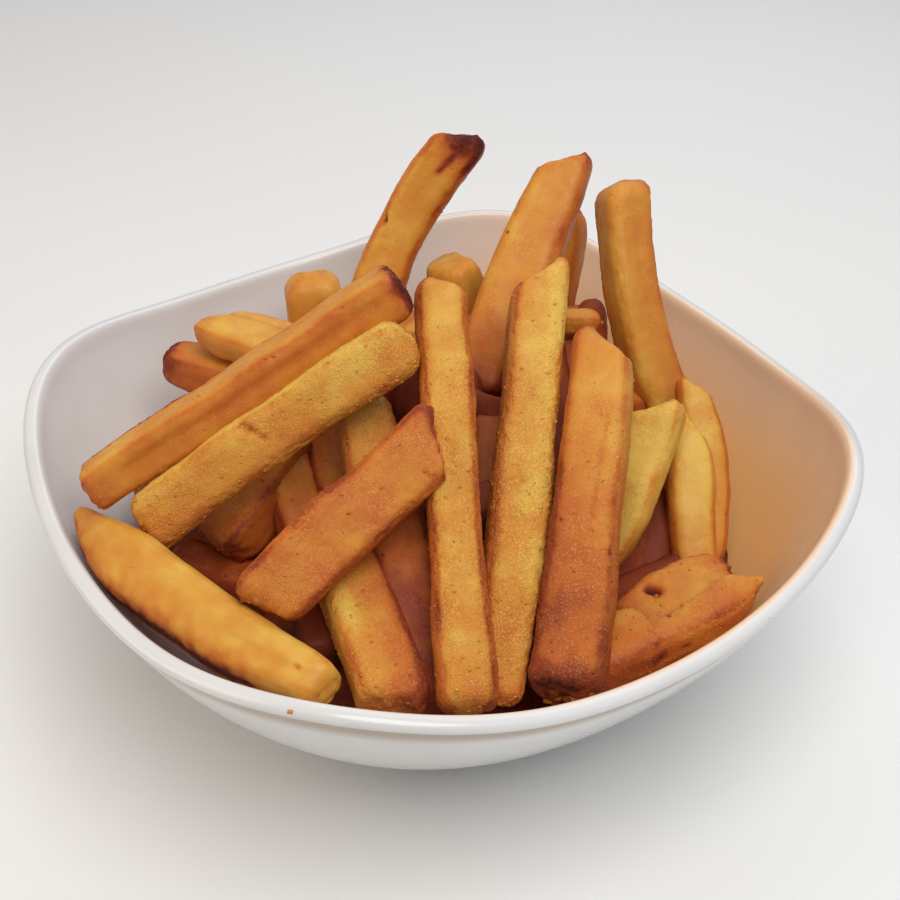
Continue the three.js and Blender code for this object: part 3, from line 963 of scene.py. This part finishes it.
crumbLook = dict(
    seed=7,
    grains=(2200, 900),  # on the coated fries and on the browned ones
    grainSize=(0.16, 0.36),
    grainEdges=(0.35, 1.6),  # their share everywhere, and how much more where it is crisp
    grainTone=(0.3, 0.55),
    grainLook=(0.1, 0.4),  # crisp and crust
    looseLook=(0.2, 0.6),
    grainHeight=0.6,
    looseHeight=0.7,
    smallBelow=0.5,
    spreading=1.25,
    lumps=0.45,
    lumpScale=1.3,
    grainStep=1.7,  # from one to the next in the noise that shapes them
    looseStep=3.1,
    loose=[  # place, the way it faces, size and tone
        ((-61.0, -53.3, 56.0), (-0.66, -0.45, 0.6), 0.45, 0.3),
        ((-62.5, 3.6, 32.1), (0.79, 0, 0.61), 0.8, 0.5),
        ((27.2, 15.2, 80.0), (-0.69, 0, 0.73), 0.35, 1),
        ((-59.9, 7.0, 55.8), (-0.53, 0.46, 0.71), 0.6, 0.4),
        ((-59.6, 6.0, 53.6), (-0.8, -0.4, 0.3), 0.7, 0.3),
        ((-59.0, 5.6, 51.6), (-0.8, -0.4, 0.3), 0.55, 0.2),
        ((-43.8, 10.3, 70.9), (-0.15, 0.44, 0.89), 0.5, 0.2),
        ((21.8, -66.1, 47.1), (0.05, -0.97, 0.25), 0.5, 0.4),
        ((-17.4, -61.7, 40.7), (-0.66, -0.75, 0.1), 0.7, 0.3),
        ((-16.0, -63.1, 41.9), (-0.24, -0.95, 0.2), 0.6, 0.1),
        ((-15.8, -65.0, 43.2), (-0.5, -0.85, 0.2), 0.65, 0.7),
        ((-15.5, -66.4, 44.4), (-0.58, -0.77, 0.27), 0.7, 0.2),
        ((-13.8, -68.0, 45.9), (-0.46, -0.87, 0.2), 0.55, 0.3),
    ],
)


def addCrumb(bm, looks, spot, normal, size, height, look, shift):
    # a lumpy bit, flattened against the surface it sits on
    form = crumbLook
    fineness = 1 if size < form["smallBelow"] else 3
    grown = bmesh.ops.create_icosphere(bm, subdivisions=fineness, radius=1)["verts"]
    basis = normal.to_track_quat("Z", "Y").to_matrix()
    for vert in grown:
        lump = 1 + form["lumps"] * noise.noise(vert.co * form["lumpScale"] + Vector((shift, 0, 0)))
        x, y, z = vert.co * size * lump
        vert.co = spot + basis @ Vector((x * form["spreading"], y, z * height)) * mm
    looks.extend([look] * len(grown))


def makeCrumbs(pieces):
    form = crumbLook
    dice = random.Random(form["seed"])
    always, crisper = form["grainEdges"]
    change, darker = form["grainTone"]
    bm = bmesh.new()
    looks = []
    for piece, grains in zip(pieces, form["grains"]):
        mesh = piece.data
        tints = mesh.attributes["fryLook"].data
        placed = 0
        while placed < grains:
            face = mesh.polygons[dice.randrange(len(mesh.polygons))]
            tone, crisp, crust, burn = tints[face.vertices[0]].color
            if dice.random() > crust * (always + crisper * crisp):
                continue
            size = between(form["grainSize"], dice.random() ** 2)
            look = (tone + change * (dice.random() - darker), *form["grainLook"], burn)
            shift = placed * form["grainStep"]
            addCrumb(bm, looks, face.center, face.normal, size, form["grainHeight"], look, shift)
            placed += 1
    for number, (place, normal, size, tone) in enumerate(form["loose"]):
        look = (tone, *form["looseLook"], 0)
        shift = number * form["looseStep"]
        addCrumb(bm, looks, point(place), Vector(normal), size, form["looseHeight"], look, shift)
    crumbs = asObject(bm, "crumbs", brownedPotato)
    places = [value for vert in crumbs.data.vertices for value in vert.co]
    addFriedMarks(crumbs.data, places, [value for look in looks for value in look])
    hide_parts("fries")
    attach(crumbs, "root")
    print("crumbs made:", len(crumbs.data.polygons), "faces")


makeCrumbs((coatedPiece, brownedPiece))


# core under the fries

coreForm = dict(
    gap=0.4,
    edgeHeight=26,
    topHeight=56,
    steps=128,
    wallPieces=40,
    domePieces=25,
    dentsAbove=2,  # the edge's height
    sunk=1.2,
    dents=(1.4, 5),  # amount and size, as the next
    crispWander=(0.4, 4),
    look=dict(tone=0.5, crisp=0.3, crust=0.3),
)


def makeCore():
    form, own = bowlForm, coreForm
    look = own["look"]
    edgeDepth = (form["rimHeight"] - own["edgeHeight"]) / (form["rimHeight"] - form["floorHeight"])
    rim = (form["rimRadius"] - own["gap"], form["rimHeight"])
    floor = (form["floorRadius"] - own["gap"], form["floorHeight"] + own["gap"])
    top = between((rim[1], floor[1]), edgeDepth)
    wall = [spot for spot in wallLine(rim, floor, own["wallPieces"]) if spot[1] <= top]
    edge = wall[0]
    line = [(0, floor[1])] + wall[::-1]
    for number in range(own["domePieces"] - 1, -1, -1):
        out = number / own["domePieces"]
        line.append((edge[0] * out, edge[1] + (own["topHeight"] - edge[1]) * math.cos(out * math.pi / 2)))
    bm = turned(line, own["steps"])
    makeWavySquare(bm)
    places, paints = [], []
    for vert in bm.verts:
        here = vert.co / mm
        if here.z > own["edgeHeight"] + own["dentsAbove"]:
            vert.co.z -= (own["sunk"] + wander(here, *own["dents"])) * mm
        places.extend(vert.co)
        paints.extend((look["tone"], look["crisp"] + wander(here, *own["crispWander"]), look["crust"], 0))
    # its dark shaded paints are painted shade in the gaps between the fries
    core = asObject(bm, "friesCore", shadedPotato)
    addFriedMarks(core.data, places, paints)
    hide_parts("fries")
    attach(core, "root")


makeCore()
print("core made")


# floor

tableLook = dict(
    size=3,
    colours=((0.86, 0.86, 0.85, 1), (0.89, 0.89, 0.88, 1)),
    cloudScale=4,
    roughness=0.6,
)


def makeFloor():
    material = bpy.data.materials.new("paleTable")
    material.use_nodes = True
    bench = NodeBench(material.node_tree)
    skin = material.node_tree.nodes["Principled BSDF"]
    place = bench.add("ShaderNodeTexCoord").outputs["Object"]
    tint = bench.mix(bench.noise(place, tableLook["cloudScale"]), *tableLook["colours"])
    bench.feed(skin, Base_Color=tint, Roughness=tableLook["roughness"])
    bm = bmesh.new()
    bmesh.ops.create_grid(bm, x_segments=2, y_segments=2, size=tableLook["size"])
    floor = asObject(bm, "table", material)


makeFloor()
